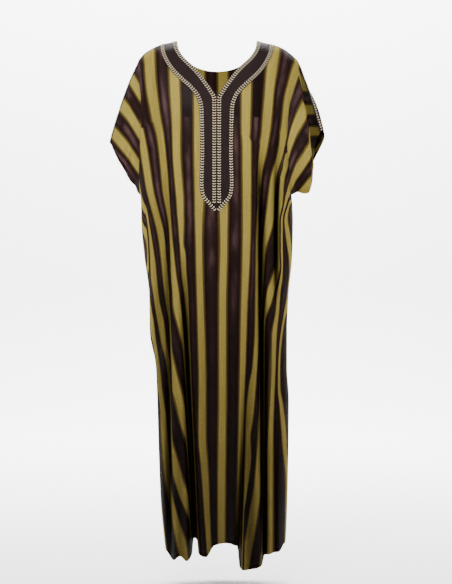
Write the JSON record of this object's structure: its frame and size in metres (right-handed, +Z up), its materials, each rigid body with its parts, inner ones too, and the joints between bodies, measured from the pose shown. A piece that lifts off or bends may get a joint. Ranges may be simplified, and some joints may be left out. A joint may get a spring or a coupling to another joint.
{
  "type": "djellaba",
  "caption": "Full-length short-sleeved striped djellaba with a V neck, slit placket and braided neck band, hollow as worn.",
  "frame": {"origin": "midway between the two neck points of the shoulder line, where the wearer's shoulders carry it", "axes": "+Z up the garment from hem to shoulder, -Y towards the front with the slit, +X to the wearer's left"},
  "size_m": [0.5858, 0.2661, 1.4057],
  "materials": {
    "cloth": "satin, striped olive and dark brown",
    "band": "matte",
    "braid": "corded"
  },
  "bodies": {
    "root": {"front": "cloth", "back": "cloth", "sleeve_right": "cloth", "sleeve_left": "cloth", "band_right": "band", "band_left": "band", "band_back": "band", "tape_right": "band", "tape_left": "band", "braid_inner_right": "braid", "braid_inner_left": "braid", "braid_outer_right": "braid", "braid_outer_left": "braid", "braid_back_inner": "braid", "braid_back_outer": "braid", "tape_braid_right": "braid", "tape_braid_left": "braid"}
  },
  "joints": []
}
